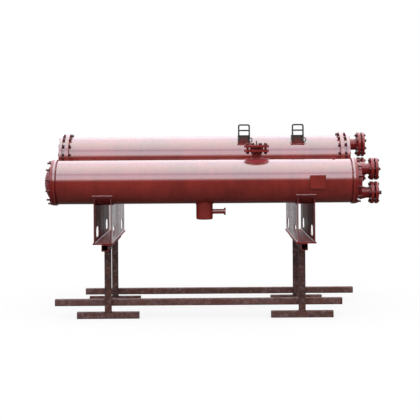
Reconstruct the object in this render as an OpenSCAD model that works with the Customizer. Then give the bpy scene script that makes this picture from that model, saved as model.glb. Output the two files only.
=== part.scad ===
// Pair of horizontal shell and tube heat exchangers on two common saddles and a welded tube stand.
// The front vessel is the lower one, with bolted cast covers. The rear one is higher, with flanged joints.
// X runs along the shells towards the water connections, Y towards the rear vessel and Z up from the floor.

/* [Front vessel] */
// Outside diameter of the front shell
front_shell_od = 325; // [300:1:332]
// Wall of the front shell
front_shell_wall = 8; // [5:0.5:12]
// Length of the front shell between its tube sheets
front_shell_len = 2168; // [2040:2:2600]
// Diameter of the front tube sheets over their rims
front_sheet_od = 342; // [336:1:360]
// Thickness of the front tube sheets
front_sheet_t = 17; // [12:1:45]
// Length of the weld groove between a front tube sheet and the shell
front_groove_len = 10; // [3:1:12]
// Depth of the weld groove
front_groove_depth = 5; // [2:1:7]
// Diameter of the front cover rims
front_rim_od = 340; // [336:1:356]
// Thickness of the front cover rims
front_rim_t = 15; // [10:1:26]
// Diameter of the raised face that seats on a front tube sheet
front_seat_od = 284; // [240:1:288]
// Height of that raised face
front_seat_t = 2; // [1:0.5:8]
// Diameter of the drum and dome that stand on a front cover's rim
front_dome_od = 268; // [230:1:276]
// Length of the drum on the left front cover
front_left_drum_len = 12; // [2:1:40]
// Height of the dome on the left front cover
front_left_dome_h = 48; // [15:1:70]
// Length of the drum on the right front cover
front_right_drum_len = 32; // [5:1:50]
// Height of the dome on the right front cover, between the necks
front_right_dome_h = 16; // [8:1:30]
// Bolt circle of the front covers
front_bolt_pcd = 312; // [308:1:316]
// Number of bolts in a front cover
front_bolt_count = 12; // [8:1:16]
// Bolt hole diameter in the front covers
front_bolt_hole = 15; // [12:1:17]
// Angle of the first bolt in the left front cover
front_left_bolt_start = 21; // [0:1:29]
// Angle of the first bolt in the right front cover
front_right_bolt_start = 15; // [0:1:29]

/* [Front water connections] */
// Height of each neck above or below the front axis
front_neck_offset = 88; // [84:1:95]
// Outside diameter of the front necks
front_neck_od = 82; // [76:1:90]
// Diameter of the front necks where they leave the cover
front_neck_root_d = 106; // [92:1:108]
// Length of the straight part of a front neck, at its flange
front_neck_straight = 30; // [25:1:45]
// Length of the front necks from the cover rim to the flange
front_neck_len = 110; // [85:1:150]
// Diameter of the front water flanges
front_flange_od = 165; // [158:1:166]
// Bolt circle of the front water flanges
front_flange_pcd = 125; // [122:1:134]
// Bore of the front necks and counter flanges
front_water_bore = 52; // [30:1:58]
// Depth of the water way bored into a front neck, from its flange face
front_water_depth = 120; // [60:1:130]
// Number of bolts in a front water flange
front_flange_bolts = 4; // [4:1:8]
// Diameter of the plastic cap on the lower connection
cap_d = 106; // [70:1:120]
// Thickness of the cap's rim
cap_rim_t = 6; // [3:1:10]
// Height of the cap's dome
cap_dome_h = 9; // [4:1:16]
// Reach, width and height of the cap's pull tab
cap_tab = [20, 6, 26]; // [4:1:40]
// Distance of the pull tab from the middle of the cap, towards the front
cap_tab_y = 34; // [10:1:40]

/* [Gas inlet] */
// Distance of the gas inlet from the middle of the front shell
gas_inlet_x = 392; // [200:1:600]
// Outside diameter of the gas inlet pipe
gas_pipe_od = 76; // [60:1:90]
// Wall of the gas inlet pipe
gas_pipe_wall = 5; // [3:0.5:8]
// Height of the gas inlet flange's underside above the top of the shell
gas_flange_lift = 56; // [40:1:120]
// Diameter of the gas inlet flange and of its blank
gas_flange_od = 185; // [180:1:200]
// Bolt circle of the gas inlet flange
gas_flange_pcd = 145; // [140:1:150]
// Number of bolts in the gas inlet flange
gas_flange_bolts = 8; // [4:1:8]
// Diameter of the reinforcing pad round the gas inlet
gas_pad_od = 180; // [120:1:200]
// Thickness of the reinforcing pad
gas_pad_t = 8; // [4:1:12]
// Height of the charging valve on the blank
valve_h = 30; // [22:1:40]
// Diameter of the valve's hexagon foot
valve_foot_d = 14; // [12:1:20]
// Height of the valve's hexagon foot
valve_foot_h = 8; // [4:1:10]
// Diameter of the valve's stem
valve_stem_d = 7; // [5:1:8]
// Diameter of the valve's cap
valve_cap_d = 10; // [9:1:16]
// Height of the valve's cap
valve_cap_h = 12; // [6:1:14]

/* [Liquid sump] */
// Outside diameter of the liquid sump
sump_od = 125; // [100:1:140]
// Wall of the liquid sump
sump_wall = 6; // [4:0.5:8]
// Depth of the sump below the shell
sump_drop = 118; // [100:1:160]
// Rounding of the sump's bottom edge
sump_round = 12; // [9:1:20]
// Depth of the outlet's axis below the shell
outlet_drop = 60; // [45:1:70]
// Outside diameter of the outlet pipe
outlet_od = 36; // [30:1:42]
// Bore of the outlet pipe
outlet_bore = 28; // [18:1:29]
// Reach of the outlet from the sump's axis to its end
outlet_reach = 158; // [110:1:250]
// Diameter of the collar on the outlet
collar_od = 54; // [46:1:80]
// Thickness of the collar
collar_t = 12; // [4:1:16]

/* [Small fittings] */
// Distance of the name plate bracket from the right end of the shell
plate_inset = 252; // [170:1:700]
// Width of the name plate bracket
plate_w = 114; // [60:1:160]
// Height of the name plate bracket
plate_h = 98; // [50:1:130]
// Distance of the bracket's face in front of the shell
plate_standoff = 12; // [6:1:40]
// Sheet thickness of the bracket
plate_t = 4; // [2:0.5:6]
// Distance of the vent boss from the right end of the shell
boss_inset = 116; // [60:1:160]
// Diameter of the vent boss
boss_d = 24; // [16:1:40]
// Height of the vent boss
boss_h = 14; // [8:1:25]

/* [Rear vessel] */
// Outside diameter of the rear shell
rear_shell_od = 356; // [340:1:358]
// Wall of the rear shell
rear_shell_wall = 8; // [5:0.5:12]
// Length of the rear shell between its tube sheets
rear_shell_len = 2280; // [2100:2:2600]
// Diameter of the rear body flanges and covers
rear_flange_od = 412; // [408:1:440]
// Thickness of the rear body flanges
rear_flange_t = 31; // [16:1:40]
// Diameter of the rear tube sheets, inside the bolts
rear_sheet_od = 362; // [358:1:364]
// Thickness of the rear tube sheets
rear_sheet_t = 21; // [12:1:40]
// Thickness of the rear covers at the rim
rear_cover_t = 25; // [16:1:40]
// Diameter at the foot of the rear cover domes
rear_dome_od = 330; // [300:1:350]
// Height of the rear cover domes
rear_dome_h = 16; // [8:1:30]
// Bolt circle of the rear body flanges
rear_bolt_pcd = 385; // [384:1:388]
// Number of bolts in a rear body flange
rear_bolt_count = 16; // [12:1:20]

/* [Rear water connections] */
// Height of each neck above or below the rear axis
rear_neck_offset = 104; // [102:1:110]
// Outside diameter of the rear necks
rear_neck_od = 92; // [84:1:100]
// Length of the rear necks from the cover to the flange
rear_neck_len = 80; // [50:1:120]
// Diameter of the rear water flanges
rear_water_flange_od = 200; // [190:1:203]
// Bolt circle of the rear water flanges
rear_water_pcd = 160; // [150:1:165]
// Bore of the rear necks and counter flanges
rear_water_bore = 80; // [50:1:82]
// Depth of the water way bored into a rear neck, from its flange face
rear_water_depth = 100; // [60:1:103]
// Number of bolts in a rear water flange
rear_water_bolts = 8; // [4:1:8]

/* [Flange joints] */
// Thickness of the water and gas flanges
pipe_flange_t = 20; // [14:1:28]
// Height of the raised face on a flange
raised_face_t = 5; // [2:1:6]
// Width of the raised face outside the bore
raised_face_w = 16; // [10:1:18]
// Thickness of the gasket between two raised faces
gasket_t = 3; // [1:0.5:4]
// Set-back of a gasket from the bore
gasket_inset = 3; // [1:1:6]
// Bolt hole diameter in the flanged joints
flange_bolt_hole = 18; // [14:1:18]

/* [Top brackets] */
// Distance of the left bracket from the middle of the shell
left_bracket_x = 323; // [100:1:500]
// Distance of the right bracket from the middle of the shell
right_bracket_x = 762; // [600:1:950]
// Width of a bracket
bracket_w = 98; // [70:1:130]
// Distance of a bracket's face in front of the rear axis
bracket_forward = 141; // [130:1:160]
// Depth of a bracket's seat, front to back
bracket_depth = 96; // [60:1:110]
// Height of the seat above the top of the rear shell
bracket_rise = 8; // [4:1:40]
// Plate thickness of a bracket
bracket_t = 6; // [4:1:10]
// Height of the loop above the seat
loop_h = 89; // [60:1:120]
// Thickness of the loop's bar
loop_bar = 12; // [8:1:16]
// Outside corner radius of the loop
loop_corner = 18; // [17:1:28]
// Length of the loop's legs below the seat's top, on its face
loop_lap = 56; // [20:1:70]
// Height of the loop's cross bar above the seat
loop_cross_z = 38; // [25:1:50]
// Radius of the eye on a bracket's side, to the middle of its bar
eye_r = 17; // [12:1:22]
// Thickness of the eye's bar
eye_bar = 8; // [5:1:10]
// Height of the eye's middle below the seat
eye_drop = 40; // [30:1:45]

/* [Saddles] */
// Distance between the two shell axes, front to rear
shell_spacing = 840; // [760:1:900]
// Height of the rear axis above the front axis
rear_rise = 162; // [100:1:220]
// Height of the front axis above the saddle's base plate
axis_above_base = 445; // [400:1:520]
// Distance between the two saddles
saddle_spacing = 1498; // [1300:1:1700]
// Reach of a saddle beyond each shell axis
saddle_reach = 124; // [105:1:128]
// Distance between the two web plates of a saddle, middle to middle
web_spacing = 123; // [90:1:130]
// Thickness of a web plate
web_t = 8; // [6:1:12]
// Width of the base plates and wear pads
saddle_w = 148; // [144:1:190]
// Thickness of the base plates
base_plate_t = 10; // [6:1:20]
// Thickness of the wear pads under the shells
pad_t = 8; // [4:1:12]
// Half angle of the shell that a wear pad wraps
pad_half_angle = 54; // [50:1:70]
// Height of the slots in the webs
slot_h = 80; // [40:1:110]
// Length of the slots
slot_len = 185; // [120:1:240]
// Height of the slots' middle above the base plate
slot_z = 71; // [62:1:100]
// Distance of the slots' middle from the ends of the web
slot_inset = 203; // [140:1:250]

/* [Stand] */
// Width of the square tube
stand_tube = 50; // [40:1:60]
// Wall of the square tube
stand_wall = 4; // [2:0.5:5]
// Outside corner radius of the square tube
stand_corner = 7; // [6:0.5:9]
// Set-in of the beams from the middle of their saddles, towards the middle of the stand
beam_setin = 15; // [0:1:45]
// Set-back of the beams from the front of the saddle
beam_inset = 2; // [0:1:30]
// Length of the beams
beam_len = 1070; // [1030:1:1100]
// Length of the posts between foot and beam
post_len = 480; // [300:1:700]
// Set-in of the front posts from the beams
front_post_setin = 0; // [-24:1:24]
// Set-out of the rear posts from the beams
rear_post_setout = 19; // [-24:1:24]
// Distance of the front posts behind the front axis
front_post_y = 100; // [40:1:250]
// Distance of the rear posts behind the front axis
rear_post_y = 860; // [600:1:920]
// Length of the front feet
front_foot_len = 470; // [300:1:600]
// Length of the rear feet
rear_foot_len = 425; // [300:1:600]
// Length of the front stretcher
front_stretcher_len = 2185; // [1800:1:2600]
// Length of the rear stretcher
rear_stretcher_len = 2235; // [1800:1:2600]
// Height of the front stretcher's underside above the floor
front_stretcher_z = 90; // [52:1:250]
// Height of the rear stretcher's underside above the floor
rear_stretcher_z = 58; // [52:1:250]
// Shift of the front stretcher along the stand
front_stretcher_x = -50; // [-150:1:150]
// Shift of the rear stretcher along the stand
rear_stretcher_x = 114; // [-150:1:150]

/* [Hidden] */
$fn = 96;

// Colours of the paint, the bare steel loops, the rusty stand, the cap and the gaskets
vessel_red = [0.47, 0.16, 0.15];
loop_grey = [0.22, 0.22, 0.21];
stand_brown = [0.33, 0.24, 0.23];
cap_black = [0.05, 0.05, 0.05];
gasket_grey = [0.12, 0.12, 0.12];

// Room that a cutting shape is given past the solid it cuts
over = 1;

// Radii and heights that follow from the driving dimensions
front_r = front_shell_od / 2;
rear_r = rear_shell_od / 2;
base_z = 2 * stand_tube + post_len;
saddle_floor_z = base_z + base_plate_t;
front_z = saddle_floor_z + axis_above_base;
rear_z = front_z + rear_rise;
saddle_len = shell_spacing + 2 * saddle_reach;
gas_bore = gas_pipe_od - 2 * gas_pipe_wall;
sump_floor_z = front_z - front_r - sump_drop;
outlet_z = front_z - front_r - outlet_drop;
seat_z = rear_z + rear_r + bracket_rise;
bracket_y = shell_spacing - bracket_forward;

// A flanged joint is two flanges, their raised faces and the gasket between
flange_face_h = pipe_flange_t + raised_face_t;
flange_joint_len = 2 * flange_face_h + gasket_t;

// Places along X, measured from the middle of the shells
front_sheet_x = front_shell_len / 2;
front_seat_x = front_sheet_x + front_groove_len + front_sheet_t;
front_face_x = front_seat_x + front_seat_t + front_rim_t;
front_flange_x = front_face_x + front_neck_len;
cap_x = front_flange_x + flange_joint_len;
plate_x = front_sheet_x - plate_inset;
boss_x = front_sheet_x - boss_inset;
rear_sheet_x = rear_shell_len / 2;
rear_cover_x = rear_sheet_x + rear_sheet_t;
rear_face_x = rear_cover_x + rear_cover_t;
rear_flange_x = rear_face_x + rear_neck_len;
beam_x = saddle_spacing / 2 - beam_setin;
front_post_x = beam_x - front_post_setin;
rear_post_x = beam_x + rear_post_setout;

// Outermost reach of the part, which sets the origin in the middle of its plan
reach_left = max(front_face_x + front_left_drum_len + front_left_dome_h, rear_face_x + rear_dome_h,
                 front_stretcher_len / 2 - front_stretcher_x, rear_stretcher_len / 2 - rear_stretcher_x);
reach_right = max(cap_x + cap_rim_t + max(cap_dome_h, cap_tab.x), rear_flange_x + flange_joint_len,
                  front_stretcher_len / 2 + front_stretcher_x, rear_stretcher_len / 2 + rear_stretcher_x);
reach_front = max(front_sheet_od / 2, front_rim_od / 2, front_r + plate_standoff + plate_t);
reach_rear = shell_spacing + rear_flange_od / 2;
middle = [(reach_right - reach_left) / 2, (reach_rear - reach_front) / 2, 0];

// Frames

// Puts the shared layout on the part's own origin
module placed() {
    translate(-middle) children();
}

// Turns a shape drawn along Z so that it runs along X from the given point
module along_x(at) {
    translate(at) rotate([0, 90, 0]) children();
}

module on_front_axis(x) {
    along_x([x, 0, front_z]) children();
}

module on_rear_axis(x) {
    along_x([x, shell_spacing, rear_z]) children();
}

// Turns what is drawn for the right end of the shells to their left end
module at_left_end() {
    mirror([1, 0, 0]) children();
}

// Shared shapes

// The full round of a shell, used to cut what is welded to it
module front_shell_round(grow = 0) {
    on_front_axis(-front_shell_len) cylinder(r = front_r + grow, h = 2 * front_shell_len);
}

module rear_shell_round(grow = 0) {
    on_rear_axis(-rear_shell_len) cylinder(r = rear_r + grow, h = 2 * rear_shell_len);
}

module bolt_holes(pcd, count, hole, length, start) {
    for (i = [0 : count - 1])
        rotate(start + i * 360 / count)
            translate([pcd / 2, 0, -over]) cylinder(d = hole, h = length + 2 * over);
}

// Round flange with its raised face on the upper side; a bore of 0 leaves it blank
module pipe_flange(od, face_od, bore, pcd, count, start) {
    difference() {
        union() {
            cylinder(d = od, h = pipe_flange_t);
            cylinder(d = face_od, h = flange_face_h);
        }
        if (bore > 0) translate([0, 0, -over]) cylinder(d = bore, h = flange_face_h + 2 * over);
        bolt_holes(pcd, count, flange_bolt_hole, pipe_flange_t, start);
    }
}

function face_od(bore) = bore + 2 * raised_face_w;

// The far flange of a joint, facing the flange that the joint starts from
module far_flange(od, face_od, bore, pcd, count, start) {
    translate([0, 0, flange_joint_len]) mirror([0, 0, 1]) pipe_flange(od, face_od, bore, pcd, count, start);
}

// First bolt angle that leaves no bolt at the top of a flange
function straddling(count) = 180 / count;

module gasket(bore) {
    translate([0, 0, flange_face_h]) difference() {
        cylinder(d = face_od(bore), h = gasket_t);
        translate([0, 0, -over]) cylinder(d = bore + 2 * gasket_inset, h = gasket_t + 2 * over);
    }
}

// Shallow dome of the given foot diameter and height, standing on Z = 0
module dome(foot_d, height) {
    foot_r = foot_d / 2;
    sphere_r = (foot_r * foot_r + height * height) / (2 * height);
    intersection() {
        translate([0, 0, height - sphere_r]) sphere(sphere_r);
        cylinder(d = foot_d, h = height + over);
    }
}

module rounded_square(size, corner) {
    square([size - 2 * corner, size], center = true);
    square([size, size - 2 * corner], center = true);
    for (x = [-1, 1], y = [-1, 1])
        translate([x, y] * (size / 2 - corner)) circle(corner);
}

// Length of square steel tube along Z
module square_tube(length) {
    linear_extrude(length) difference() {
        rounded_square(stand_tube, stand_corner);
        rounded_square(stand_tube - 2 * stand_wall, stand_corner - stand_wall);
    }
}

// Front vessel

module front_shell() {
    color(vessel_red) difference() {
        on_front_axis(-front_shell_len / 2) difference() {
            cylinder(r = front_r, h = front_shell_len);
            translate([0, 0, -over]) cylinder(r = front_r - front_shell_wall, h = front_shell_len + 2 * over);
        }
        translate([gas_inlet_x, 0, front_z]) cylinder(d = gas_bore, h = front_shell_od);
        translate([0, 0, front_z - front_shell_od]) cylinder(d = sump_od - 2 * sump_wall, h = front_shell_od);
    }
}

// Tube sheet with the weld groove on the shell side
module front_tube_sheet() {
    color(vessel_red) on_front_axis(front_sheet_x) {
        cylinder(r = front_r - front_groove_depth, h = front_groove_len);
        translate([0, 0, front_groove_len]) cylinder(d = front_sheet_od, h = front_sheet_t);
    }
}

// Bolted cover without its necks, from the seat on the tube sheet outwards
module front_cover_body(drum_len, dome_h, bolt_start) {
    cylinder(d = front_seat_od, h = front_seat_t);
    translate([0, 0, front_seat_t]) {
        difference() {
            cylinder(d = front_rim_od, h = front_rim_t);
            bolt_holes(front_bolt_pcd, front_bolt_count, front_bolt_hole, front_rim_t, bolt_start);
        }
        translate([0, 0, front_rim_t]) {
            cylinder(d = front_dome_od, h = drum_len);
            translate([0, 0, drum_len]) dome(front_dome_od, dome_h);
        }
    }
}

module front_left_cover() {
    color(vessel_red) on_front_axis(front_seat_x)
        front_cover_body(front_left_drum_len, front_left_dome_h, front_left_bolt_start);
}

// Places on the front connections, upper for side 1 and lower for side -1, at the foot of the flange
module on_front_neck(side) {
    on_front_axis(front_flange_x) translate([-side * front_neck_offset, 0, 0]) children();
}

// Right cover cast in one with two necks and their flanges
module front_right_channel() {
    neck_root = front_neck_len + front_rim_t;
    flare_len = front_neck_len - front_right_drum_len - front_neck_straight;
    color(vessel_red) difference() {
        union() {
            on_front_axis(front_seat_x)
                front_cover_body(front_right_drum_len, front_right_dome_h, front_right_bolt_start);
            for (side = [-1, 1]) on_front_neck(side) {
                translate([0, 0, -neck_root]) cylinder(d = front_neck_od, h = neck_root);
                translate([0, 0, -front_neck_straight - flare_len])
                    cylinder(d1 = front_neck_root_d, d2 = front_neck_od, h = flare_len);
                pipe_flange(front_flange_od, face_od(front_water_bore), 0,
                            front_flange_pcd, front_flange_bolts, 0);
            }
        }
        for (side = [-1, 1]) on_front_neck(side)
            translate([0, 0, flange_face_h - front_water_depth])
                cylinder(d = front_water_bore, h = front_water_depth + over);
    }
}

module front_counter_flange(side) {
    color(vessel_red) on_front_neck(side)
        far_flange(front_flange_od, face_od(front_water_bore), front_water_bore,
                   front_flange_pcd, front_flange_bolts, 0);
}

// Plastic cap pressed on the lower connection, with a pull tab
module front_lower_cap() {
    color(cap_black) on_front_neck(-1) translate([0, 0, flange_joint_len]) {
        cylinder(d = cap_d, h = cap_rim_t);
        translate([0, 0, cap_rim_t]) dome(cap_d - cap_rim_t, cap_dome_h);
        translate([-cap_tab.z / 2, -cap_tab_y - cap_tab.y / 2, 0])
            cube([cap_tab.z, cap_tab.y, cap_rim_t + cap_tab.x]);
    }
}

// Gas inlet on top of the front shell

module on_gas_inlet() {
    translate([gas_inlet_x, 0, front_z + front_r + gas_flange_lift]) children();
}

module gas_inlet_pad() {
    color(vessel_red) intersection() {
        difference() {
            front_shell_round(gas_pad_t);
            front_shell_round();
        }
        translate([gas_inlet_x, 0, front_z]) difference() {
            cylinder(d = gas_pad_od, h = front_shell_od);
            cylinder(d = gas_pipe_od, h = front_shell_od);
        }
    }
}

module gas_inlet_neck() {
    color(vessel_red) difference() {
        on_gas_inlet() {
            translate([0, 0, -front_r]) cylinder(d = gas_pipe_od, h = front_r);
            pipe_flange(gas_flange_od, face_od(gas_bore), 0,
                        gas_flange_pcd, gas_flange_bolts, straddling(gas_flange_bolts));
        }
        translate([gas_inlet_x, 0, front_z]) cylinder(d = gas_bore, h = 2 * front_shell_od);
        front_shell_round();
    }
}

module gas_inlet_blank() {
    color(vessel_red) on_gas_inlet()
        far_flange(gas_flange_od, face_od(gas_bore), 0,
                   gas_flange_pcd, gas_flange_bolts, straddling(gas_flange_bolts));
}

// Charging valve on the blank: a hexagon foot, a stem and a round cap
module charging_valve() {
    color(vessel_red) on_gas_inlet() translate([0, 0, flange_joint_len]) {
        cylinder(d = valve_foot_d, h = valve_foot_h, $fn = 6);
        cylinder(d = valve_stem_d, h = valve_h);
        translate([0, 0, valve_h - valve_cap_h]) cylinder(d = valve_cap_d, h = valve_cap_h);
    }
}

// Liquid sump under the front shell

module sump_round_body(radius, height, round) {
    rotate_extrude() {
        square([radius - round, height]);
        translate([0, round]) square([radius, height - round]);
        intersection() {
            translate([radius - round, round]) circle(round);
            square(radius);
        }
    }
}

module liquid_sump() {
    height = front_r + sump_drop;
    color(vessel_red) difference() {
        translate([0, 0, sump_floor_z]) difference() {
            sump_round_body(sump_od / 2, height, sump_round);
            translate([0, 0, sump_wall])
                sump_round_body(sump_od / 2 - sump_wall, height, sump_round - sump_wall);
        }
        front_shell_round();
        along_x([0, 0, outlet_z]) cylinder(d = outlet_bore, h = sump_od);
    }
}

// Outlet pipe welded into the sump's side, with a collar on its end
module liquid_outlet() {
    color(vessel_red) difference() {
        along_x([0, 0, outlet_z]) difference() {
            union() {
                cylinder(d = outlet_od, h = outlet_reach);
                translate([0, 0, outlet_reach - collar_t]) cylinder(d = collar_od, h = collar_t);
            }
            translate([0, 0, -over]) cylinder(d = outlet_bore, h = outlet_reach + 2 * over);
        }
        translate([0, 0, sump_floor_z]) cylinder(d = sump_od, h = front_r + sump_drop);
    }
}

// Small fittings on the front shell

// Bent sheet with its upper and lower returns welded to the shell
module name_plate_bracket() {
    face_y = -front_r - plate_standoff;
    color(vessel_red) difference() {
        translate([plate_x - plate_w / 2, face_y - plate_t, front_z - plate_h / 2])
            cube([plate_w, front_r, plate_h]);
        translate([plate_x - plate_w / 2 - over, face_y, front_z - plate_h / 2 + plate_t])
            cube([plate_w + 2 * over, front_r, plate_h - 2 * plate_t]);
        front_shell_round();
    }
}

module vent_boss() {
    color(vessel_red) difference() {
        translate([boss_x, 0, front_z]) cylinder(d = boss_d, h = front_r + boss_h);
        front_shell_round();
    }
}

// Rear vessel

module rear_shell() {
    color(vessel_red) on_rear_axis(-rear_shell_len / 2) difference() {
        cylinder(r = rear_r, h = rear_shell_len);
        translate([0, 0, -over]) cylinder(r = rear_r - rear_shell_wall, h = rear_shell_len + 2 * over);
    }
}

module rear_bolt_holes(length) {
    bolt_holes(rear_bolt_pcd, rear_bolt_count, flange_bolt_hole, length, straddling(rear_bolt_count));
}

// Body flange slipped over the end of the rear shell
module rear_body_flange() {
    color(vessel_red) on_rear_axis(rear_sheet_x - rear_flange_t) difference() {
        cylinder(d = rear_flange_od, h = rear_flange_t);
        translate([0, 0, -over]) cylinder(r = rear_r, h = rear_flange_t + 2 * over);
        rear_bolt_holes(rear_flange_t);
    }
}

module rear_tube_sheet() {
    color(vessel_red) on_rear_axis(rear_sheet_x) cylinder(d = rear_sheet_od, h = rear_sheet_t);
}

module rear_cover_body() {
    on_rear_axis(rear_cover_x) {
        difference() {
            cylinder(d = rear_flange_od, h = rear_cover_t);
            rear_bolt_holes(rear_cover_t);
        }
        translate([0, 0, rear_cover_t]) dome(rear_dome_od, rear_dome_h);
    }
}

module rear_left_cover() {
    color(vessel_red) rear_cover_body();
}

// Places on the rear connections, upper for side 1 and lower for side -1, at the foot of the flange
module on_rear_neck(side) {
    on_rear_axis(rear_flange_x) translate([-side * rear_neck_offset, 0, 0]) children();
}

// Right cover with two necks and their flanges
module rear_right_channel() {
    neck_root = rear_neck_len + rear_cover_t;
    color(vessel_red) difference() {
        union() {
            rear_cover_body();
            for (side = [-1, 1]) on_rear_neck(side) {
                translate([0, 0, -neck_root]) cylinder(d = rear_neck_od, h = neck_root);
                pipe_flange(rear_water_flange_od, face_od(rear_water_bore), 0,
                            rear_water_pcd, rear_water_bolts, straddling(rear_water_bolts));
            }
        }
        for (side = [-1, 1]) on_rear_neck(side)
            translate([0, 0, flange_face_h - rear_water_depth])
                cylinder(d = rear_water_bore, h = rear_water_depth + over);
    }
}

module rear_counter_flange(side) {
    color(vessel_red) on_rear_neck(side)
        far_flange(rear_water_flange_od, face_od(rear_water_bore), rear_water_bore,
                   rear_water_pcd, rear_water_bolts, straddling(rear_water_bolts));
}

// One gasket in each flanged joint of the two vessels
module flange_gaskets() {
    color(gasket_grey) {
        on_gas_inlet() gasket(gas_bore);
        for (side = [-1, 1]) {
            on_front_neck(side) gasket(front_water_bore);
            on_rear_neck(side) gasket(rear_water_bore);
        }
    }
}

// Brackets on the front upper side of the rear shell

// Puts a shape at the left and at the right bracket
module at_each_bracket() {
    for (x = [left_bracket_x, right_bracket_x])
        translate([x, bracket_y, seat_z]) children();
}

// Folded plate seats, open at the back and cut to the shell
module bracket_seats() {
    height = seat_z - rear_z;
    color(vessel_red) difference() {
        at_each_bracket() difference() {
            translate([-bracket_w / 2, 0, -height]) cube([bracket_w, bracket_depth, height]);
            translate([bracket_t - bracket_w / 2, bracket_t, -height - over])
                cube([bracket_w - 2 * bracket_t, bracket_depth, height - bracket_t + over]);
        }
        rear_shell_round();
    }
}

// Bent bar loops with their legs on the faces of the seats, each with a cross bar
module bracket_loops() {
    inner_w = bracket_w - 2 * loop_bar;
    inner_corner = loop_corner - loop_bar;
    color(loop_grey) at_each_bracket() rotate([90, 0, 0]) linear_extrude(loop_bar) {
        translate([0, -loop_lap]) difference() {
            arched_window(bracket_w, loop_lap + loop_h, loop_corner);
            translate([0, -over]) arched_window(inner_w, loop_lap + loop_h - loop_bar + over, inner_corner);
        }
        translate([-inner_w / 2 - over, loop_cross_z - loop_bar / 2]) square([inner_w + 2 * over, loop_bar]);
    }
}

// Half round eyes on the right cheeks of the seats
module bracket_eyes() {
    color(vessel_red) at_each_bracket()
        translate([bracket_w / 2, eye_bar / 2, -eye_drop])
            rotate([90, 0, 0]) rotate(-90) rotate_extrude(angle = 180)
                translate([eye_r, 0]) circle(d = eye_bar);
}

// Upright rectangle on Y = 0 with its two upper corners rounded
module arched_window(width, height, corner) {
    translate([-width / 2, 0]) square([width, height - corner]);
    translate([-width / 2 + corner, 0]) square([width - 2 * corner, height]);
    for (side = [-1, 1])
        translate([side * (width / 2 - corner), height - corner]) circle(corner);
}

// Saddles

module slot_outline() {
    straight = slot_len - slot_h;
    square([straight, slot_h], center = true);
    for (side = [-1, 1])
        translate([side * straight / 2, 0]) circle(d = slot_h);
}

// Web plate seen from the end of the shells, with a cradle for each shell
module saddle_web_outline() {
    front_tip = front_z - sqrt(pow(front_r + pad_t, 2) - pow(saddle_reach, 2));
    rear_tip = rear_z - sqrt(pow(rear_r + pad_t, 2) - pow(saddle_reach, 2));
    difference() {
        polygon([
            [-saddle_reach, saddle_floor_z], [-saddle_reach, front_tip], [saddle_reach, front_tip],
            [shell_spacing - saddle_reach, rear_tip], [shell_spacing + saddle_reach, rear_tip],
            [shell_spacing + saddle_reach, saddle_floor_z]
        ]);
        translate([0, front_z]) circle(front_r + pad_t);
        translate([shell_spacing, rear_z]) circle(rear_r + pad_t);
        for (y = [slot_inset - saddle_reach, shell_spacing + saddle_reach - slot_inset])
            translate([y, saddle_floor_z + slot_z]) slot_outline();
    }
}

// The two web plates of one saddle
module saddle_webs(side) {
    color(vessel_red)
        for (x = [-1, 1])
            translate([side * saddle_spacing / 2 + x * web_spacing / 2 - web_t / 2, 0, 0])
                rotate([90, 0, 90]) linear_extrude(web_t) saddle_web_outline();
}

module saddle_base(side) {
    color(vessel_red)
        translate([side * saddle_spacing / 2 - saddle_w / 2, -saddle_reach, base_z])
            cube([saddle_w, saddle_len, base_plate_t]);
}

// Curved plate between a shell and the webs
module wear_pad(side, at_y, at_z, shell_r) {
    color(vessel_red)
        along_x([side * saddle_spacing / 2 - saddle_w / 2, at_y, at_z])
            rotate(-pad_half_angle) rotate_extrude(angle = 2 * pad_half_angle)
                translate([shell_r, 0]) square([pad_t, saddle_w]);
}

// Stand of welded square tube

module beam(side) {
    color(stand_brown)
        translate([side * beam_x, -saddle_reach + beam_inset + beam_len, base_z - stand_tube / 2])
            rotate([90, 0, 0]) square_tube(beam_len);
}

module at_front_post(side) {
    translate([side * front_post_x, front_post_y, 0]) children();
}

module at_rear_post(side) {
    translate([side * rear_post_x, rear_post_y, 0]) children();
}

module posts(side) {
    color(stand_brown) {
        at_front_post(side) translate([0, 0, stand_tube]) square_tube(post_len);
        at_rear_post(side) translate([0, 0, stand_tube]) square_tube(post_len);
    }
}

// Foot lying under a post, along X
module foot(length) {
    along_x([-length / 2, 0, stand_tube / 2]) square_tube(length);
}

module feet(side) {
    color(stand_brown) {
        at_front_post(side) foot(front_foot_len);
        at_rear_post(side) foot(rear_foot_len);
    }
}

// Stretcher welded behind a pair of posts
module stretcher(length, at_x, post_y, at_z) {
    color(stand_brown)
        along_x([at_x - length / 2, post_y + stand_tube, at_z + stand_tube / 2]) square_tube(length);
}

placed() front_shell();
placed() at_left_end() front_tube_sheet();  // front_left_tube_sheet
placed() front_tube_sheet();  // front_right_tube_sheet
placed() at_left_end() front_left_cover();
placed() front_right_channel();
placed() front_counter_flange(1);  // front_upper_counter_flange
placed() front_counter_flange(-1);  // front_lower_counter_flange
placed() front_lower_cap();
placed() gas_inlet_pad();
placed() gas_inlet_neck();
placed() gas_inlet_blank();
placed() charging_valve();
placed() liquid_sump();
placed() liquid_outlet();
placed() name_plate_bracket();
placed() vent_boss();
placed() flange_gaskets();
placed() rear_shell();
placed() at_left_end() rear_body_flange();  // rear_left_body_flange
placed() rear_body_flange();  // rear_right_body_flange
placed() at_left_end() rear_tube_sheet();  // rear_left_tube_sheet
placed() rear_tube_sheet();  // rear_right_tube_sheet
placed() at_left_end() rear_left_cover();
placed() rear_right_channel();
placed() rear_counter_flange(1);  // rear_upper_counter_flange
placed() rear_counter_flange(-1);  // rear_lower_counter_flange
placed() bracket_seats();
placed() bracket_loops();
placed() bracket_eyes();
placed() saddle_webs(-1);  // left_saddle_webs
placed() saddle_base(-1);  // left_saddle_base
placed() wear_pad(-1, 0, front_z, front_r);  // left_front_pad
placed() wear_pad(-1, shell_spacing, rear_z, rear_r);  // left_rear_pad
placed() saddle_webs(1);  // right_saddle_webs
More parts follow.
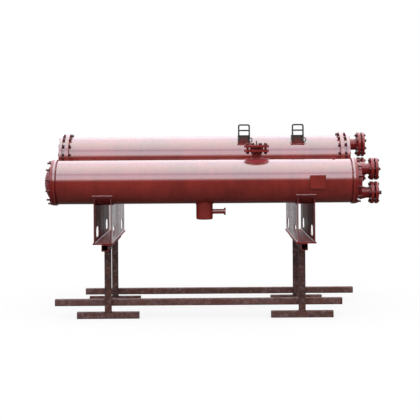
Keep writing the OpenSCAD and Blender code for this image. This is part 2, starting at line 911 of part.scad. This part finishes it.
placed() saddle_base(1);  // right_saddle_base
placed() wear_pad(1, 0, front_z, front_r);  // right_front_pad
placed() wear_pad(1, shell_spacing, rear_z, rear_r);  // right_rear_pad
placed() beam(-1);  // left_beam
placed() posts(-1);  // left_posts
placed() feet(-1);  // left_feet
placed() beam(1);  // right_beam
placed() posts(1);  // right_posts
placed() feet(1);  // right_feet
placed() stretcher(front_stretcher_len, front_stretcher_x, front_post_y, front_stretcher_z);  // front_stretcher
placed() stretcher(rear_stretcher_len, rear_stretcher_x, rear_post_y, rear_stretcher_z);  // rear_stretcher
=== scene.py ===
import math

import bmesh
import bpy
from mathutils import Matrix, Vector


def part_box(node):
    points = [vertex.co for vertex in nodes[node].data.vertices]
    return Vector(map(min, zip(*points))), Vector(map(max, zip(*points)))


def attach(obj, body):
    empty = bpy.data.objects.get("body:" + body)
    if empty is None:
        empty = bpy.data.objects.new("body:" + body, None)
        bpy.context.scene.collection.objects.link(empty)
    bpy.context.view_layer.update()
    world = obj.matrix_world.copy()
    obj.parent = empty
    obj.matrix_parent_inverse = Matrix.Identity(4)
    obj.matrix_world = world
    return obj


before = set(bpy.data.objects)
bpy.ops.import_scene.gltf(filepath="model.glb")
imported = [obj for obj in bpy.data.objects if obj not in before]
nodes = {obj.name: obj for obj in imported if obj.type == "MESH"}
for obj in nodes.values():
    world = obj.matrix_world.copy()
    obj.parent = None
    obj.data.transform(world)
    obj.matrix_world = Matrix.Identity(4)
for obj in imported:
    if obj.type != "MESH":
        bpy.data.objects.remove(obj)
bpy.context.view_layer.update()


# Stand of square steel tube: feet, posts, beams and stretchers, sawn to length and welded
# on site. The primer was brushed on thinly, so rust shows through it in blotches, and most
# of all low down where water stands.


class Wire:
    """An output socket of a node. Arithmetic on it adds Math nodes to its tree."""

    def __init__(self, tree, socket=None):
        self.tree = tree
        self.socket = socket

    def node(self, kind, sockets=None, settings=None, output=0):
        """Adds a node, sets its settings, then the values or links of its sockets."""
        made = self.tree.nodes.new(kind)
        for name, value in (settings or {}).items():
            setattr(made, name, value)
        for name, value in (sockets or {}).items():
            if isinstance(value, Wire):
                self.tree.links.new(value.socket, made.inputs[name])
            else:
                made.inputs[name].default_value = value
        return Wire(self.tree, made.outputs[output] if made.outputs else None)

    def math(self, operation, *values):
        return self.node("ShaderNodeMath", dict(enumerate(values)), {"operation": operation})

    def __add__(self, other):
        return self.math("ADD", self, other)

    def __sub__(self, other):
        return self.math("SUBTRACT", self, other)

    def __rsub__(self, other):
        return self.math("SUBTRACT", other, self)

    def __mul__(self, other):
        return self.math("MULTIPLY", self, other)

    def step(self, low, high):
        """0 below low and 1 above high, with a smooth change between."""
        return self.node(
            "ShaderNodeMapRange",
            {"Value": self, "From Min": low, "From Max": high},
            {"interpolation_type": "SMOOTHSTEP"},
        )

    def between(self, first, second):
        """The first colour where this is 0 and the second where it is 1."""
        first, second = [c if isinstance(c, Wire) else (*c, 1.0) for c in (first, second)]
        return self.node("ShaderNodeMix", {0: self, 6: first, 7: second}, {"data_type": "RGBA"}, 2)

    def ramp(self, *stops):
        """Colour at this value, changing evenly from each stop to the next."""
        made = self.node("ShaderNodeValToRGB", {"Fac": self})
        elements = made.socket.node.color_ramp.elements
        while len(elements) < len(stops):
            elements.new(0.5)
        for element, (position, colour) in zip(elements, stops):
            element.position = position
            element.color = (*colour, 1.0)
        return made

    def noise(self, scale, detail, roughness):
        """Cloudy pattern read at this place, centred on 0.5."""
        return self.node(
            "ShaderNodeTexNoise",
            {"Vector": self, "Scale": scale, "Detail": detail, "Roughness": roughness},
        )

    def stretched(self, scale):
        """This place with each axis scaled by its own factor."""
        return self.node("ShaderNodeMapping", {"Vector": self, "Scale": scale})

    def part(self, axis):
        """One of X, Y and Z of this place or direction."""
        return self.node("ShaderNodeSeparateXYZ", {"Vector": self}, output=axis)

    def bump(self, strength, distance):
        """Normal of a surface with this height."""
        return self.node(
            "ShaderNodeBump", {"Height": self, "Strength": strength, "Distance": distance}
        )


def new_finish(name):
    """An empty material, and the wire of the place on the part."""
    material = bpy.data.materials.new(name)
    material.use_nodes = True
    material.node_tree.nodes.clear()
    return material, Wire(material.node_tree).node("ShaderNodeTexCoord", output="Object")


def surfaced(material, sockets):
    """The material, ended in a Principled shader with the given sockets."""
    wire = Wire(material.node_tree)
    shader = wire.node("ShaderNodeBsdfPrincipled", sockets)
    wire.node("ShaderNodeOutputMaterial", {"Surface": shader})
    return material


def dress(material, *names):
    """Gives CAD nodes their finish."""
    for name in names:
        for material_slot in nodes[name].material_slots:
            material_slot.material = material


def scaled(colour, factor):
    return tuple(factor * c for c in colour)


no_overspray = -9.0


def rusty_primer(name, shade, sprayed_y=no_overspray):
    """Primer with its colours scaled by the given shade factor, which paints in light and shade,
    with red overspray in front of the given Y.
    """
    material, place = new_finish(name)
    primer_dark, primer_light = (0.052, 0.029, 0.028), (0.154, 0.079, 0.076)
    rust_dark, rust_light = (0.050, 0.020, 0.016), (0.17, 0.070, 0.050)
    flake_grey, spray_red, spray_fade = (0.27, 0.20, 0.195), (0.19, 0.024, 0.022), 0.03
    blotch = place.noise(8.0, 8.0, 0.7)
    spots = place.noise(34.0, 7.0, 0.75)
    grain = place.noise(150.0, 5.0, 0.7)
    low_down = 1 - place.part("Z").step(0.0, 0.55)
    rust = (blotch + low_down * 0.08 + grain * 0.2).step(0.56, 0.80)
    flakes = (spots + grain * 0.3).step(0.66, 0.80)
    primer = spots.step(0.3, 0.7).between(scaled(primer_dark, shade), scaled(primer_light, shade))
    weathered = (rust * 0.7).between(primer, grain.between(rust_dark, rust_light))
    colour = (flakes * 0.3).between(weathered, flake_grey)
    overspray = 1 - (place.part("Y") + blotch * 0.03).step(sprayed_y, sprayed_y + spray_fade)
    relief = blotch * 0.4 + grain * 0.5 - flakes * 0.35
    return surfaced(material, {
        "Base Color": (overspray * 0.85).between(colour, spray_red),
        "Roughness": rust * 0.2 + 0.55,
        "Specular IOR Level": 0.08,
        "Normal": relief.bump(0.5, 0.0015),
    })


# Each member's shade factor paints in the light and shade it gets: the posts darkest, in the
# shadow under the vessels, then the beams, the feet, and the stretchers lightest.
post_shaded_primer = rusty_primer("post_primer", 0.55)
sprayed_depth = 0.04
beam_sprayed_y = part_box("left_beam")[0].y + sprayed_depth
dress(rusty_primer("foot_primer", 1.05), "left_feet", "right_feet")
dress(rusty_primer("stretcher_primer", 1.30), "front_stretcher", "rear_stretcher")
dress(post_shaded_primer, "left_posts", "right_posts")
dress(rusty_primer("beam_primer", 0.8, beam_sprayed_y), "left_beam", "right_beam")


# Vessels and their fittings: rolled plate and pipe, sprayed with one glossy coat of
# red-brown enamel over primer. Dust lies on what faces up, and thin runs and scuffs break
# the gloss.


def enamel(
    name, colour, wear=0.0, rough=0.10, run_depth=0.06, ior=1.56, dulling=None, gloss=None
):
    """Enamel of one colour. The function dulling gives more roughness where it dried matt,
    and gloss the weight of a second, clear coat."""
    material, place = new_finish(name)
    dark = scaled(colour, 0.68)
    light = tuple(1.18 * c + 0.002 for c in colour)
    dust, scuffed = (0.40, 0.31, 0.30), (0.075, 0.024, 0.020)
    facing = place.node("ShaderNodeNewGeometry", output="Normal").part("Z")
    cloud = place.noise(3.1, 5.0, 0.6)
    fine = place.noise(60.0, 4.0, 0.65)
    runs = place.stretched((24.0, 24.0, 1.3)).noise(1.0, 6.0, 0.6)
    film = (facing.step(-0.1, 1.0) * 0.5 + runs * 0.2 + fine * 0.12).step(0.34, 0.89)
    scuff = (place.noise(31.0, 9.0, 0.78) + wear).step(0.71, 0.76)
    tone = (cloud * 0.7 + runs * 0.4).step(0.30, 0.80).between(dark, light)
    dusty = (film * 0.14).between(tone, dust)
    ripple = place.noise(5.0, 2.0, 0.4) * 0.1 + runs * run_depth
    relief = place.noise(420.0, 2.0, 0.5) * 0.06 + ripple
    dull = film * 0.14 + scuff * 0.25 + fine * 0.06 + rough
    return surfaced(material, {
        "Base Color": (scuff * 0.7).between(dusty, scuffed),
        "Roughness": dull + dulling(place) if dulling else dull,
        "IOR": ior,
        "Coat Weight": gloss(place) if gloss else 0.0,
        "Coat Roughness": 0.15,
        "Normal": relief.bump(0.14, 0.004),
    })


def soften(width, *names):
    """Rounds the sharp edges of CAD nodes, as paint and grinding do."""
    for name in names:
        weld = nodes[name].modifiers.new("joined", "WELD")
        weld.merge_threshold = 1e-5
        bevel = nodes[name].modifiers.new("soft_edges", "BEVEL")
        bevel.width = width
        bevel.segments = 2
        bevel.limit_method = "ANGLE"
        bevel.angle_limit = math.radians(50.0)


flange_edge = 0.002
fitting_red = (0.225, 0.018, 0.017)
vessel_finish = enamel("vessel_enamel", (0.25, 0.024, 0.018), run_depth=0.02)
fitting_finish = enamel("fitting_enamel", fitting_red, wear=0.02, rough=0.24, ior=1.3)
dress(
    vessel_finish, "front_shell", "front_left_tube_sheet", "front_right_tube_sheet",
    "rear_shell", "rear_left_body_flange", "rear_right_body_flange", "rear_left_tube_sheet",
    "rear_right_tube_sheet", "liquid_sump", "liquid_outlet", "name_plate_bracket", "vent_boss",
)
dress(
    fitting_finish, "front_left_cover", "front_right_channel", "front_upper_counter_flange",
    "front_lower_counter_flange", "rear_upper_counter_flange", "rear_lower_counter_flange",
    "gas_inlet_neck", "gas_inlet_blank",
)
soften(
    flange_edge, "front_left_tube_sheet", "front_right_tube_sheet", "front_left_cover",
    "front_upper_counter_flange", "front_lower_counter_flange", "rear_left_body_flange",
    "rear_right_body_flange", "rear_upper_counter_flange", "rear_lower_counter_flange",
    "gas_inlet_blank", "name_plate_bracket",
)


# Covers of the rear vessel: a plain one on the left, and a channel with two necks on the
# right. Their discs are as glossy as the shell and mirror the sky at the rim, and the necks
# are dull like the other fittings.

cover_thickness, gloss_fade = 0.025, 0.002
rear_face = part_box("rear_right_tube_sheet")[1].x + cover_thickness


def disc_gloss(place):
    """Clear coat on the covers, and none on the channel's necks."""
    return 1 - place.part("X").step(rear_face - gloss_fade, rear_face)


cover_finish = enamel(
    "channel_enamel", fitting_red, wear=0.02, rough=0.24, ior=1.3, gloss=disc_gloss
)
dress(cover_finish, "rear_left_cover", "rear_right_channel")
soften(flange_edge, "rear_left_cover")


# Pad under the gas inlet, cut from plate and fitted to the shell later than the rest. Its
# paint is a brighter red than the vessel's, and it dried matt.

dress(enamel("pad_enamel", (0.30, 0.008, 0.018), rough=0.5, ior=1.2), "gas_inlet_pad")


# Saddles: two web plates each with runs in the paint from top to bottom, a base plate rubbed dull,
# and wear pads against the shells. The spray gun hardly reached between the webs, so the paint is
# matt there. The pads are a darker red than the shells, as painted shade under the shells.


def middle(name):
    """Middle of a CAD node's box."""
    low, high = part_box(name)
    return (low + high) / 2


between_saddles = 0.5 * (middle("right_saddle_webs").x + middle("left_saddle_webs").x)
saddle_x = middle("right_saddle_webs").x - between_saddles


def web_dulling(place):
    """Roughness of matt runs a hand wide, and of the faces between the webs."""
    runs = place.stretched((9.0, 9.0, 0.5)).noise(1.0, 5.0, 0.55).step(0.22, 0.82)
    across = place.part("X") - between_saddles
    from_saddle = across - place.math("SIGN", across) * saddle_x
    outward = place.node("ShaderNodeNewGeometry", output="Normal").part("X")
    inside = 1 - (from_saddle * outward).step(-0.02, 0.02)
    return runs * 0.30 + inside * 0.25


plate_edge = 0.0015
web_finish = enamel(
    "web_enamel", (0.15, 0.017, 0.016), wear=0.02, rough=0.04, run_depth=0.4, dulling=web_dulling
)
base_finish = enamel("base_enamel", (0.18, 0.016, 0.014), wear=0.04, rough=0.45, ior=1.2)
# The pads' red is darker than the vessel's: painted shade under the shells.
shaded_pad_finish = enamel("saddle_pad_shaded_enamel", (0.165, 0.018, 0.016), run_depth=0.02)
dress(web_finish, "left_saddle_webs", "right_saddle_webs")
dress(base_finish, "left_saddle_base", "right_saddle_base")
dress(shaded_pad_finish, "left_front_pad", "left_rear_pad", "right_front_pad", "right_rear_pad")
soften(
    plate_edge, "left_saddle_webs", "right_saddle_webs", "left_saddle_base", "right_saddle_base"
)


# Brackets on the rear shell: seats with painted shade at the top, near black where the recess
# under the loops lies in shadow, and red below. Loops, eyes and the charging valve are left in a
# dark weathered primer.


def shade_topped_enamel(red_z, painted_shade_z):
    """Enamel that is red up to one height and near black from another one on, as painted shade."""
    material, place = new_finish("shade_topped_enamel")
    red_dark, red_light = (0.11, 0.013, 0.011), (0.19, 0.020, 0.017)
    painted_shade_dark, painted_shade_light = (0.010, 0.009, 0.008), (0.032, 0.024, 0.022)
    cloud = place.noise(40.0, 6.0, 0.7)
    # Near black from the loops' foot up: painted shade of the recess under the loops.
    painted_shade_mask = (place.part("Z") + cloud * 0.02).step(red_z + 0.01, painted_shade_z + 0.01)
    red = cloud.step(0.3, 0.7).between(red_dark, red_light)
    painted_shade = cloud.step(0.4, 0.7).between(painted_shade_dark, painted_shade_light)
    return surfaced(material, {
        "Base Color": painted_shade_mask.between(red, painted_shade),
        "Roughness": painted_shade_mask * 0.4 + cloud * 0.15 + 0.22,
        "Specular IOR Level": 0.3,
        "Normal": cloud.bump(0.3, 0.0008),
    })


def dark_primer():
    """Dark primer that has gone pale in patches."""
    material, place = new_finish("dark_primer")
    dark, pale = (0.024, 0.023, 0.021), (0.105, 0.100, 0.090)
    cloud = place.noise(26.0, 6.0, 0.7)
    grain = place.noise(240.0, 3.0, 0.6)
    return surfaced(material, {
        "Base Color": cloud.step(0.42, 0.70).between(dark, pale),
        "Roughness": cloud * 0.3 + 0.45,
        "Specular IOR Level": 0.08,
        "Normal": (grain + cloud).bump(0.3, 0.0006),
    })


seat_low, seat_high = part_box("bracket_seats")
below_loop = 0.02
seat_red_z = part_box("bracket_loops")[0].z - below_loop
dress(shade_topped_enamel(seat_red_z, seat_high.z), "bracket_seats")
dress(dark_primer(), "bracket_loops", "bracket_eyes", "charging_valve")


# Cap on the lower front connection, pressed from black plastic and gone grey with weather.
# The gaskets between the flanges are cut from black sheet.


def black_plastic():
    """Black plastic with a grey bloom."""
    material, place = new_finish("black_plastic")
    black, grey = (0.008, 0.008, 0.009), (0.05, 0.052, 0.056)
    bloom = place.noise(35.0, 6.0, 0.65)
    return surfaced(material, {
        "Base Color": bloom.step(0.45, 0.8).between(black, grey),
        "Roughness": bloom * 0.25 + 0.4,
        "Specular IOR Level": 0.06,
        "Normal": place.noise(300.0, 3.0, 0.5).bump(0.15, 0.0005),
    })


dress(black_plastic(), "front_lower_cap", "flange_gaskets")


# Studs of the front covers: twelve at each end, screwed into the tube sheet, with a nut on the rim
# and a long end of thread beyond it, all painted over with the vessel's red, here darkened as
# painted shade.

bar_sides, nut_sides = 20, 6


def turned(bm, sides, radius, foot, top, chamfer):
    """Bar with the given number of sides from foot to top, its end rims chamfered."""
    made = bmesh.ops.create_cone(
        bm, cap_ends=True, segments=sides, radius1=radius, radius2=radius,
        depth=top - foot, matrix=Matrix.Translation((0, 0, (foot + top) / 2)),
    )["verts"]
    rims = {e for v in made for e in v.link_edges}
    rims = [e for e in rims if abs(e.verts[0].co.z - e.verts[1].co.z) < 1e-6]
    bmesh.ops.bevel(
        bm, geom=rims, offset=chamfer, offset_type="OFFSET", segments=2, profile=0.5,
        affect="EDGES", material=-1,
    )


def bar(bm, thread, foot, top):
    """Threaded bar of the given thickness."""
    turned(bm, bar_sides, thread / 2, foot, top, thread * 0.1)


def nut(bm, flats, foot, top):
    """Hexagon nut of the given size over its flats."""
    turned(bm, nut_sides, flats / math.sqrt(3), foot, top, flats * 0.06)


def cover_stud(rim, thread, flats, nut_height, proud):
    """Stud standing on Z = 0 in the tube sheet, its nut on a rim of the given thickness."""
    bm = bmesh.new()
    bar(bm, thread, 0.0, rim + nut_height + proud)
    nut(bm, flats, rim, rim + nut_height)
    return bm


def linked(name, bm, material):
    """A new object in the scene, with the shape of a bmesh that is used up."""
    mesh = bpy.data.meshes.new(name)
    bm.to_mesh(mesh)
    bm.free()
    mesh.materials.append(material)
    made = bpy.data.objects.new(name, mesh)
    bpy.context.scene.collection.objects.link(made)
    return made


def added(name, bm, material):
    """Puts a new piece into the scene, on the part's one body."""
    bmesh.ops.recalc_face_normals(bm, faces=bm.faces)
    piece = linked(name, bm, material)
    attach(piece, "root")


# All bolts and nuts get a far darker red than the vessel's: painted shade of the joints they sit
# in.
shaded_bolt_finish = enamel("bolt_shaded_enamel", (0.085, 0.010, 0.010), wear=0.05, rough=0.35, ior=1.3)
nut_turn, hexagon_step = 47.0, 60.0


def bolt_ring(name, bolt, centre, towards, circle, count, start):
    """Copies of one bolt round a circle, pointing the given way, joined as one piece. The
    first is at the angle start, and the nuts of each are turned another way."""
    shape = bpy.data.meshes.new(name)
    bolt.to_mesh(shape)
    bolt.free()
    bm = bmesh.new()
    aimed = Vector(towards).to_track_quat("Z", "Y").to_matrix().to_4x4()
    for i in range(count):
        seen = len(bm.verts)
        bm.from_mesh(shape)
        bm.verts.ensure_lookup_table()
        angle = math.radians(start + i * 360.0 / count)
        if towards[2]:
            across = Vector((math.cos(angle), math.sin(angle), 0.0))
        else:
            across = Vector((0.0, math.sin(angle), -math.cos(angle)))
        spin = Matrix.Rotation(math.radians(i * nut_turn % hexagon_step), 4, "Z")
        placed = Matrix.Translation(Vector(centre) + across * circle / 2) @ aimed @ spin
        bmesh.ops.transform(bm, matrix=placed, verts=bm.verts[seen:])
    bpy.data.meshes.remove(shape)
    added(name, bm, shaded_bolt_finish)


front_axis = middle("front_shell")
front_rim, front_circle = 0.017, 0.312
for name, face, outward, start in (
    ("front_left_studs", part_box("front_left_cover")[1].x, -1, 21),
    ("front_right_studs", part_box("front_right_channel")[0].x, 1, 15),
):
    bolt_ring(
        name, cover_stud(front_rim, thread=0.014, flats=0.022, nut_height=0.012, proud=0.022),
        (face, front_axis.y, front_axis.z), (outward, 0, 0), front_circle, count=12, start=start,
    )


# Bolts of the rear covers: sixteen at each end, with a low round head on the cover, a nut
# that clamps it in the gap before the body flange, and a second nut behind that flange.


def cover_bolt(length, cover, thread, flats, gap_flats, nut_height, head_height, proud):
    """Bolt along Z through a joint of the given length, with its head on the far side."""
    bm = bmesh.new()
    bar(bm, thread, -nut_height - proud, length)
    nut(bm, flats, -nut_height, 0.0)
    nut(bm, gap_flats, length - cover - nut_height, length - cover)
    turned(bm, bar_sides, flats / 2, length, length + head_height, head_height * 0.4)
    return bm


rear_axis = middle("rear_shell")
rear_circle = 0.385
rear_backs = (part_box("rear_left_body_flange")[1].x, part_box("rear_right_body_flange")[0].x)
rear_fronts = (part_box("rear_left_tube_sheet")[0].x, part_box("rear_right_tube_sheet")[1].x)
for name, back, front, outward in zip(
    ("rear_left_bolts", "rear_right_bolts"), rear_backs, rear_fronts, (-1, 1)
):
    bolt = cover_bolt(
        abs(front - back) + cover_thickness, cover_thickness, thread=0.016, flats=0.023,
        gap_flats=0.020, nut_height=0.013, head_height=0.004, proud=0.005,
    )
    bolt_ring(
        name, bolt, (back, rear_axis.y, rear_axis.z), (outward, 0, 0), rear_circle,
        count=16, start=11.25,
    )


# Bolts of the water connections and the gas inlet, through both flanges of each joint, with
# a nut on each side. The four of a front flange stand upright and level, the eight of the
# others straddle the upright.


def stud(length, thread, flats, nut_height, proud):
    """Stud along Z through a joint of the given length, with a nut on each face."""
    bm = bmesh.new()
    reach = nut_height + proud
    bar(bm, thread, -reach, length + reach)
    nut(bm, flats, -nut_height, 0.0)
    nut(bm, flats, length, length + nut_height)
    return bm


joint_length = 0.053
stud_sizes = {"thread": 0.015, "flats": 0.022, "nut_height": 0.011, "proud": 0.004}
for name, flange, circle, count, start in (
    ("front_upper_flange_bolts", "front_upper_counter_flange", 0.125, 4, 0.0),
    ("front_lower_flange_bolts", "front_lower_counter_flange", 0.125, 4, 0.0),
    ("rear_upper_flange_bolts", "rear_upper_counter_flange", 0.160, 8, 22.5),
    ("rear_lower_flange_bolts", "rear_lower_counter_flange", 0.160, 8, 22.5),
):
    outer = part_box(flange)[1].x
    at = middle(flange)
    bolt_ring(
        name, stud(joint_length, **stud_sizes),
        (outer - joint_length, at.y, at.z), (1, 0, 0), circle, count, start,
    )
blank = middle("gas_inlet_blank")
blank_top, blank_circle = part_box("gas_inlet_blank")[1].z, 0.145
bolt_ring(
    "gas_inlet_bolts", stud(joint_length, **stud_sizes),
    (blank.x, blank.y, blank_top - joint_length), (0, 0, 1), blank_circle, count=8, start=22.5,
)


# Weld beads, laid by hand in short steps, so that each one is a row of overlapping ripples:
# on the shells and their fittings, along the saddles and round the tubes of the stand.

thin_bead, plain_bead, thick_bead, bracket_bead = 0.003, 0.004, 0.005, 0.006
ripple_pitch = 0.006


def bead(bm, points, radius, closed=False):
    """Rippled round bead of the given radius along a path of points."""
    run = bmesh.new()
    last = len(points) - 1
    for i, point in enumerate(points):
        after = points[(i + 1) % len(points)] if closed or i < last else point
        before = points[i - 1] if closed or i else point
        along = (after - before).to_track_quat("Z", "Y").to_matrix().to_4x4()
        swell = 1.0 + 0.16 * math.sin(i * 2.1) + 0.09 * math.sin(i * 0.73)
        bmesh.ops.create_circle(
            run, segments=8, radius=radius * swell, matrix=Matrix.Translation(point) @ along
        )
    bmesh.ops.bridge_loops(run, edges=run.edges[:], use_cyclic=closed)
    if not closed:
        bmesh.ops.holes_fill(run, edges=[e for e in run.edges if e.is_boundary])
    bmesh.ops.recalc_face_normals(run, faces=run.faces)
    laid = bpy.data.meshes.new("bead")
    run.to_mesh(laid)
    run.free()
    bm.from_mesh(laid)
    bpy.data.meshes.remove(laid)


def ripples(length):
    """Number of ripples in a bead of the given length."""
    return round(length / ripple_pitch)


def straight(start, end):
    """Points from start to end, one for each ripple."""
    start, end = Vector(start), Vector(end)
    count = max(2, ripples((end - start).length))
    return [start.lerp(end, i / count) for i in range(count + 1)]


def round_turns(count):
    """Angles of that many even steps round a circle."""
    return [2 * math.pi * i / count for i in range(count)]


def hoop(x, axis, radius):
    """Points round a shell at the given X."""
    return [
        Vector((x, axis.y + radius * math.sin(turn), axis.z + radius * math.cos(turn)))
        for turn in round_turns(ripples(2 * math.pi * radius))
    ]


def on_shell(at_x, axis, radius, shell_radius, side):
    """Points round an upright pipe where it meets the top or the underside of a shell."""
    path = []
    for turn in round_turns(ripples(2 * math.pi * radius)):
        y = radius * math.sin(turn)
        z = axis.z + side * math.sqrt(shell_radius ** 2 - y ** 2)
        path.append(Vector((at_x + radius * math.cos(turn), axis.y + y, z)))
    return path


def radius_of(name):
    """Radius of a round CAD node, from its width."""
    low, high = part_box(name)
    return (high.y - low.y) / 2


front_radius, rear_radius = radius_of("front_shell"), radius_of("rear_shell")
sump, sump_radius = middle("liquid_sump"), radius_of("liquid_sump")
neck_radius, pad_thickness = 0.038, 0.008
seam_offset, seam_depth = 0.005, 0.004
shell_low, shell_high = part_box("front_shell")
bm = bmesh.new()
for x in (shell_low.x - seam_offset, shell_high.x + seam_offset):
    bead(bm, hoop(x, front_axis, front_radius - seam_depth), plain_bead, closed=True)
for x in rear_backs:
    bead(bm, hoop(x, rear_axis, rear_radius), thick_bead, closed=True)
for at_x, radius, shell_radius, side, size in (
    (blank.x, radius_of("gas_inlet_pad"), front_radius, 1, thick_bead),
    (blank.x, neck_radius, front_radius + pad_thickness, 1, thick_bead),
    (sump.x, sump_radius, front_radius, -1, thick_bead),
    (middle("vent_boss").x, radius_of("vent_boss"), front_radius, 1, thin_bead),
):
    bead(bm, on_shell(at_x, front_axis, radius, shell_radius, side), size, closed=True)
outlet, outlet_radius, outlet_ripples = middle("liquid_outlet"), 0.018, 24
path = []
for turn in round_turns(outlet_ripples):
    y, z = outlet_radius * math.cos(turn), outlet_radius * math.sin(turn)
    x = sump.x + math.sqrt(sump_radius ** 2 - y ** 2)
    path.append(Vector((x, outlet.y + y, outlet.z + z)))
bead(bm, path, thin_bead, closed=True)
added("vessel_welds", bm, fitting_finish)

web_thickness = 0.008
bm = bmesh.new()
for side in ("left", "right"):
    web_low, web_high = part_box(side + "_saddle_webs")
    for x in (web_low.x, web_low.x + web_thickness, web_high.x - web_thickness, web_high.x):
        along_web = straight((x, web_low.y, web_low.z), (x, web_high.y, web_low.z))
        bead(bm, along_web, plain_bead)
    for pad, axis, radius in (
        ("_front_pad", front_axis, front_radius), ("_rear_pad", rear_axis, rear_radius),
    ):
        pad_low, pad_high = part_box(side + pad)
        half = math.asin((pad_high.y - pad_low.y) / 2 / (radius + pad_thickness))
        count = ripples(2 * half * radius)
        turns = [half * (2.0 * i / count - 1.0) for i in range(count + 1)]
        arc = [(axis.y + radius * math.sin(t), axis.z - radius * math.cos(t)) for t in turns]
        for x in (pad_low.x, pad_high.x):
            bead(bm, [Vector((x, y, z)) for y, z in arc], plain_bead)
        for y, z in (arc[0], arc[-1]):
            bead(bm, straight((pad_low.x, y, z), (pad_high.x, y, z)), plain_bead)
added("saddle_welds", bm, vessel_finish)

seat_width, overlap = 0.098, 0.006
seat_y = seat_low.y
seat_z = rear_axis.z + math.sqrt(rear_radius ** 2 - (rear_axis.y - seat_y) ** 2)
bm = bmesh.new()
for x in (seat_low.x, seat_high.x - seat_width):
    start, end = (x - overlap, seat_y, seat_z), (x + seat_width + overlap, seat_y, seat_z)
    bead(bm, straight(start, end), bracket_bead)
added("bracket_welds", bm, fitting_finish)

tube = 0.050
bm = bmesh.new()
for side in ("left", "right"):
    posts_low, posts_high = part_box(side + "_posts")
    feet_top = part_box(side + "_feet")[1].z
    # The front posts stand nearer the middle than the rear ones.
    front_x, rear_x = posts_low.x, posts_high.x - tube
    if side == "left":
        front_x, rear_x = rear_x, front_x
    for x, y in ((front_x, posts_low.y), (rear_x, posts_high.y - tube)):
        for z in (feet_top, posts_high.z):
            corners = [(x, y, z), (x + tube, y, z), (x + tube, y + tube, z), (x, y + tube, z)]
            for start, end in zip(corners, corners[1:] + corners[:1]):
                bead(bm, straight(start, end), plain_bead)
added("stand_welds", bm, post_shaded_primer)


# Floor, pale and plain. Seen by the camera it is nearly white and keeps the shadow under the
# stand. It ends behind the part, where the open daylight goes on below the horizon.

plain_white = (1.0, 1.0, 1.0, 1.0)


def pale_floor():
    """Matt floor, which only the camera sees as nearly white."""
    material, place = new_finish("pale_floor")
    seen = place.node("ShaderNodeLightPath", output="Is Camera Ray")
    shade = seen.between((0.14, 0.135, 0.13), (0.96, 0.96, 0.96))
    matt = place.node("ShaderNodeBsdfDiffuse", {"Color": shade})
    glow = place.node("ShaderNodeEmission", {"Color": plain_white, "Strength": 1.0})
    mixed = place.node("ShaderNodeMixShader", {0: seen * 0.8, 1: matt, 2: glow})
    place.node("ShaderNodeOutputMaterial", {"Surface": mixed})
    return material


floor_half_width, floor_near, floor_far = 40.0, -30.0, 4.5
floor_half_depth = (floor_far - floor_near) / 2
bm = bmesh.new()
bmesh.ops.create_grid(
    bm, x_segments=1, y_segments=1, size=1.0,
    matrix=Matrix.Translation((0.0, floor_far - floor_half_depth, 0.0))
    @ Matrix.Diagonal((floor_half_width, floor_half_depth, 1.0, 1.0)),
)
floor = linked("floor", bm, pale_floor())


# Daylight from an even overcast, brighter on the camera's side. Glossy paint mirrors a sky of
# its own: banded before the part, and duller behind it, over a dark and broken horizon. The
# camera sees plain white.

world = bpy.data.worlds.new("daylight")
world.use_nodes = True
world.node_tree.nodes.clear()
sky = Wire(world.node_tree)
direction = sky.node("ShaderNodeTexCoord", output="Generated")
height = direction.part("Z") * 0.5 + 0.5
overcast = height.ramp(
    (0.50, (0.86, 0.88, 0.90)), (0.62, (0.94, 0.96, 0.98)), (1.0, (1.0, 1.0, 1.0)),
)
brightness = 1.65 - direction.part("Y").step(-0.6, 0.6)
before = height.ramp(
    (0.50, (0.004, 0.004, 0.004)), (0.565, (0.02, 0.018, 0.018)), (0.625, (0.28, 0.26, 0.27)),
    (0.668, (0.74, 0.78, 0.84)), (0.79, (0.62, 0.76, 0.86)), (0.852, (0.38, 0.48, 0.56)),
    (0.875, (0.64, 0.78, 0.90)), (0.97, (0.76, 0.98, 1.0)), (1.0, (0.78, 1.0, 1.0)),
)
behind = height.ramp(
    (0.40, (0.10, 0.10, 0.10)), (0.587, (0.14, 0.14, 0.15)), (0.711, (0.28, 0.29, 0.30)),
    (0.835, (0.44, 0.48, 0.52)), (0.95, (0.62, 0.70, 0.78)), (1.0, (0.80, 0.92, 1.0)),
)
broken = direction.stretched((120.0, 120.0, 6.0)).noise(1.0, 4.0, 0.7).step(0.46, 0.60)
gaps = sky.math("MAXIMUM", broken, direction.part("Z").step(0.05, 0.25))
horizon = gaps.between((0.012, 0.012, 0.012), behind)
mirrored = direction.part("Y").step(-0.1, 0.35).between(before, horizon)
glossy = sky.node("ShaderNodeLightPath", output="Is Glossy Ray")
seen = sky.node("ShaderNodeLightPath", output="Is Camera Ray")
plain = sky.node("ShaderNodeBackground", {"Color": overcast, "Strength": brightness})
shine = sky.node("ShaderNodeBackground", {"Color": mirrored, "Strength": 10.0})
white = sky.node("ShaderNodeBackground", {"Color": plain_white, "Strength": 1.0})
lit = sky.node("ShaderNodeMixShader", {0: glossy, 1: plain, 2: shine})
shown = sky.node("ShaderNodeMixShader", {0: seen, 1: lit, 2: white})
sky.node("ShaderNodeOutputWorld", {"Surface": shown})
bpy.context.scene.world = world


# Camera, far off and about as high as the rear vessel, with a long lens that is shifted down
# to the part. It is tilted sideways by a fraction of a degree, as in the photo.

camera_data = bpy.data.cameras.new("camera")
camera_data.sensor_width = 36.0
camera_data.lens = 84.8
camera_data.shift_y = -0.168
camera = bpy.data.objects.new("camera", camera_data)
camera.location = (-0.0135, -7.824, 1.350)
camera.rotation_euler = (math.radians(90.0), math.radians(0.4), 0.0)
bpy.context.scene.collection.objects.link(camera)
bpy.context.scene.camera = camera
bpy.context.scene.view_settings.view_transform = "Standard"
